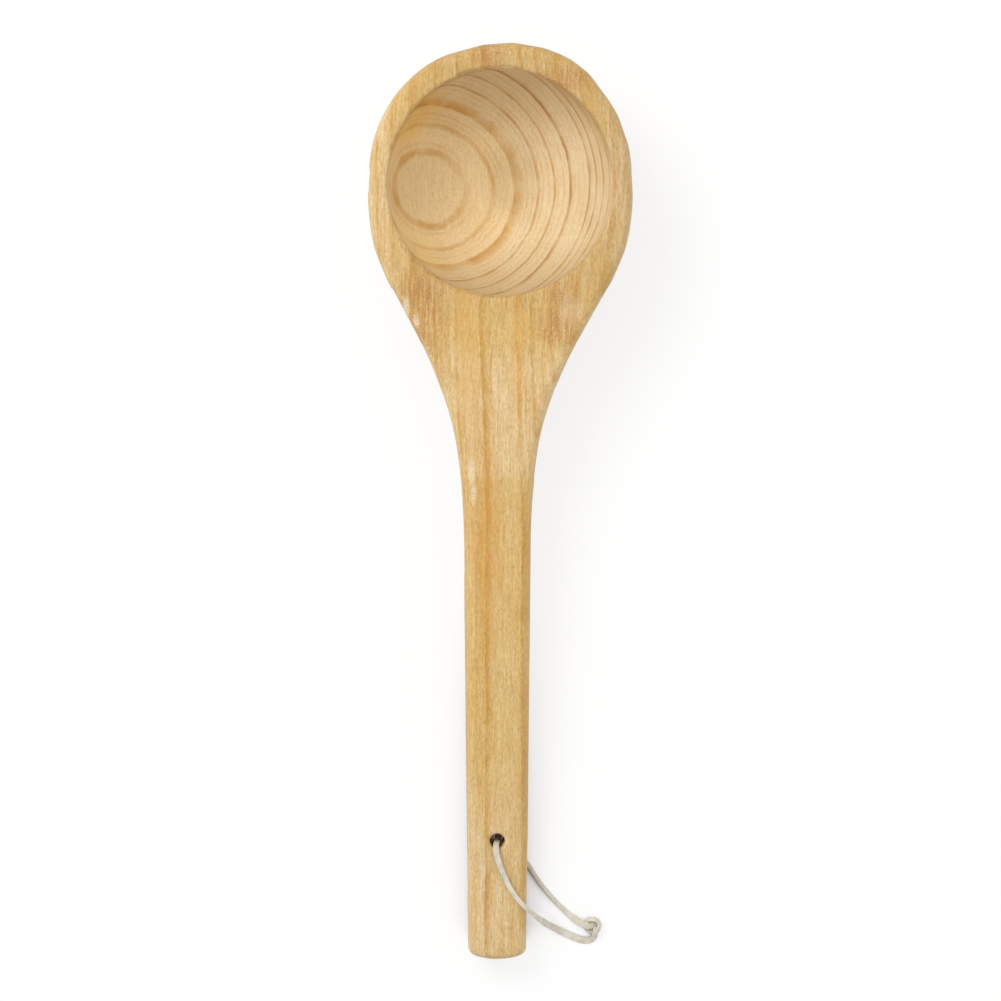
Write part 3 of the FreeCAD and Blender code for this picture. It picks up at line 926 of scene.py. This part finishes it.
class CutNodes(Nodes):
    """Short calls for the nodes of the carving's tree."""

    def stored(self, name, kind="FLOAT_VECTOR"):
        made = self.node("GeometryNodeInputNamedAttribute", data_type=kind)
        made.inputs["Name"].default_value = name
        return made.outputs["Attribute"]

    def store(self, geometry, name, value):
        made = self.node("GeometryNodeStoreNamedAttribute", data_type="FLOAT_VECTOR",
                         domain="POINT")
        made.inputs["Name"].default_value = name
        self.put(made.inputs["Geometry"], geometry)
        self.put(made.inputs["Value"], value)
        return made.outputs["Geometry"]

    def moved(self, geometry, how, value):
        """Geometry set to a new Position, or moved by an Offset."""
        made = self.node("GeometryNodeSetPosition")
        self.put(made.inputs["Geometry"], geometry)
        self.put(made.inputs[how], value)
        return made.outputs["Geometry"]

    def at_point(self, points, index, name):
        """What is stored at one of the points."""
        made = self.node("GeometryNodeSampleIndex", data_type="FLOAT_VECTOR", domain="POINT")
        self.put(made.inputs["Geometry"], points)
        self.put(made.inputs["Value"], self.stored(name))
        self.put(made.inputs["Index"], index)
        return made.outputs["Value"]

    def finished(self, geometry, material):
        solid = self.node("GeometryNodeRealizeInstances")
        self.put(solid.inputs["Geometry"], geometry)
        dressed = self.node("GeometryNodeSetMaterial")
        dressed.inputs["Material"].default_value = material
        self.put(dressed.inputs["Geometry"], solid.outputs["Geometry"])
        leave = self.node("NodeGroupOutput")
        self.put(leave.inputs["Geometry"], dressed.outputs["Geometry"])


def squeezed_place(cuts, place):
    """Along the handle the cuts are longer, so they are laid out on a shortened handle."""
    across, along, height = cuts.axes(place)
    on_bowl = cuts.maths("MAXIMUM", along, HANDLE_CUTS_FROM)
    beyond = cuts.maths("SUBTRACT", along, on_bowl)
    shortened = cuts.maths("MULTIPLY_ADD", beyond, HANDLE_CUT_STRETCH, on_bowl)
    made = cuts.node("ShaderNodeCombineXYZ")
    for socket, value in zip(made.inputs, (across, shortened, height)):
        cuts.put(socket, value)
    return made.outputs["Vector"]


def cut_middles(cuts, entry, place, squeezed):
    """Points spread over the carved surface, each with its own place and normal stored."""
    normal = cuts.node("GeometryNodeInputNormal").outputs["Normal"]
    surface = cuts.store(entry.outputs["Geometry"], "own_place", place)
    surface = cuts.store(surface, "own_normal", normal)
    is_carved = cuts.node("FunctionNodeCompare", data_type="FLOAT", operation="GREATER_THAN")
    is_carved.inputs[1].default_value = LEAST_CARVED
    cuts.put(is_carved.inputs[0], cuts.stored("carved", "FLOAT"))
    scatter = cuts.node("GeometryNodeDistributePointsOnFaces", distribute_method="POISSON")
    scatter.inputs["Density Max"].default_value = CUTS_PER_AREA
    cuts.put(scatter.inputs["Mesh"], cuts.moved(surface, "Position", squeezed))
    cuts.put(scatter.inputs["Selection"], is_carved.outputs["Result"])
    cuts.put(scatter.inputs["Distance Min"], entry.outputs["Cut spacing"])
    cuts.put(scatter.inputs["Seed"], entry.outputs["Seed"])
    return scatter.outputs["Points"]


def press_depth(cuts, place, cut_place, cut_normal, depth):
    """How far the surface is pressed in, to lie in the nearest cut's plane."""
    away = cuts.vector("SUBTRACT", place, cut_place)
    above = cuts.vector("DOT_PRODUCT", away, cut_normal)
    proud = cuts.maths("MAXIMUM", cuts.maths("ADD", above, depth), 0.0)
    limited = cuts.maths("MINIMUM", proud, cuts.maths("MULTIPLY", depth, 2.0))
    return cuts.maths("MULTIPLY", limited, cuts.stored("carved", "FLOAT"))


def facet_tree(wood):
    """Flat knife cuts: each point of the surface is pressed to the nearest cut's own plane."""
    tree = bpy.data.node_groups.new("knife_cuts", "GeometryNodeTree")
    tree.interface.new_socket("Geometry", in_out="INPUT", socket_type="NodeSocketGeometry")
    for name, kind, value in (("Cut spacing", "NodeSocketFloat", FACET_SPACING),
                              ("Cut depth", "NodeSocketFloat", FACET_DEPTH),
                              ("Seed", "NodeSocketInt", FACET_SEED)):
        socket = tree.interface.new_socket(name, in_out="INPUT", socket_type=kind)
        socket.default_value = value
    tree.interface.new_socket("Geometry", in_out="OUTPUT", socket_type="NodeSocketGeometry")

    cuts = CutNodes(tree)
    entry = cuts.node("NodeGroupInput")
    place = cuts.node("GeometryNodeInputPosition").outputs["Position"]
    squeezed = squeezed_place(cuts, place)
    points = cut_middles(cuts, entry, place, squeezed)
    nearest = cuts.node("GeometryNodeSampleNearest", domain="POINT")
    cuts.put(nearest.inputs["Geometry"], points)
    cuts.put(nearest.inputs["Sample Position"], squeezed)
    cut_place = cuts.at_point(points, nearest.outputs["Index"], "own_place")
    cut_normal = cuts.at_point(points, nearest.outputs["Index"], "own_normal")
    pressed = press_depth(cuts, place, cut_place, cut_normal, entry.outputs["Cut depth"])
    inwards = cuts.node("ShaderNodeVectorMath", operation="SCALE")
    cuts.put(inwards.inputs[0], cut_normal)
    cuts.put(inwards.inputs["Scale"], cuts.maths("MULTIPLY", pressed, -1.0))
    carved = cuts.moved(entry.outputs["Geometry"], "Offset", inwards.outputs["Vector"])
    cuts.finished(carved, wood)
    return tree


def even_mesh(node, name):
    """A CAD node's surface on an even grid that is fine enough to carve."""
    rough = link(name + "_rough", merged_copy(node, name + "_rough"))
    grid = rough.modifiers.new("even_grid", "REMESH")
    grid.mode = "VOXEL"
    grid.voxel_size = CARVING_GRID
    grid.use_smooth_shade = True
    mesh = settled_mesh(rough, name)
    drop(rough)
    mesh.materials.clear()
    return mesh


def ladle(wood):
    mesh = even_mesh("ladle", "carved_ladle")
    carved = mesh.attributes.new("carved", "FLOAT", "POINT")
    for vertex in mesh.vertices:
        carved.data[vertex.index].value = carved_share(vertex.co, vertex.normal)
    for vertex in mesh.vertices:
        vertex.co.x += fuller_edge(vertex.co)
    piece = link("carved_ladle", mesh)
    cuts = piece.modifiers.new("knife_cuts", "NODES")
    cuts.node_group = facet_tree(wood)
    finished = settled_mesh(piece, "carved_ladle")
    piece.modifiers.clear()
    piece.data = finished
    for face in finished.polygons:
        face.use_smooth = True
    return piece


def floor():
    work = bmesh.new()
    bmesh.ops.create_grid(work, x_segments=1, y_segments=1, size=FLOOR_SIZE)
    mesh = bpy.data.meshes.new("floor")
    work.to_mesh(mesh)
    work.free()
    made = link("floor", mesh)
    made.location.z = -FLOOR_DROP
    made.data.materials.append(pale_floor())


def lamp(name, place, target, size, power):
    data = bpy.data.lights.new(name, "AREA")
    data.shape = "DISK"
    data.size = size
    data.energy = power
    made = link(name, data)
    made.location = place
    aim = Vector(target) - Vector(place)
    made.rotation_euler = aim.to_track_quat("-Z", "Y").to_euler()


def world_light(strength):
    world = bpy.data.worlds.new("studio")
    world.use_nodes = True
    tree = world.node_tree
    tree.nodes.clear()
    soft = tree.nodes.new("ShaderNodeBackground")
    soft.inputs["Color"].default_value = (1.0, 1.0, 1.0, 1.0)
    soft.inputs["Strength"].default_value = strength
    output = tree.nodes.new("ShaderNodeOutputWorld")
    tree.links.new(soft.outputs[0], output.inputs["Surface"])
    bpy.context.scene.world = world


camera()
leather = lace_leather()
wood = carved_wood()

lace_piece, lace_line = lace(leather)
knot_piece = knot(leather)
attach(lace_piece, "root")
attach(knot_piece, "root")
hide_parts("cord_loop")
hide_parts("cord_knot")

ladle_piece = ladle(wood)
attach(ladle_piece, "root")
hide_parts("ladle")

floor()
lamp("key_light", KEY_LIGHT_PLACE, KEY_LIGHT_TARGET, KEY_LIGHT_SIZE, KEY_LIGHT_POWER)
world_light(WORLD_STRENGTH)
bpy.context.scene.view_settings.view_transform = "Standard"
